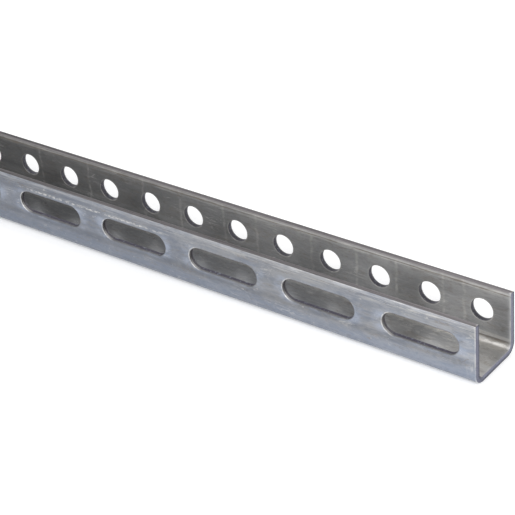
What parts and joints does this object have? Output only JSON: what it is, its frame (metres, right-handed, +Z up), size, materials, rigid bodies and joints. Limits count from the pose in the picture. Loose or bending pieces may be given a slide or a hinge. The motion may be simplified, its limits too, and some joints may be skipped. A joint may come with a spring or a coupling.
{
  "type": "perforated u-channel",
  "caption": "Steel U-channel stock bent from punched strip, with a row of round holes in one flange and a row of long slots in the other.",
  "frame": {"origin": "middle of the web's underside, under the middle of the length and of the width", "axes": "+X along the length towards the end that the punching is set out from, +Y towards the flange with the round holes, +Z up, out of the open side"},
  "size_m": [1, 0.03, 0.029],
  "materials": {
    "steel": "rolled satin mill finish with faint streaks along the length, darker inside, bare cut ends"
  },
  "bodies": {
    "root": {"u_channel": "steel"}
  },
  "joints": []
}
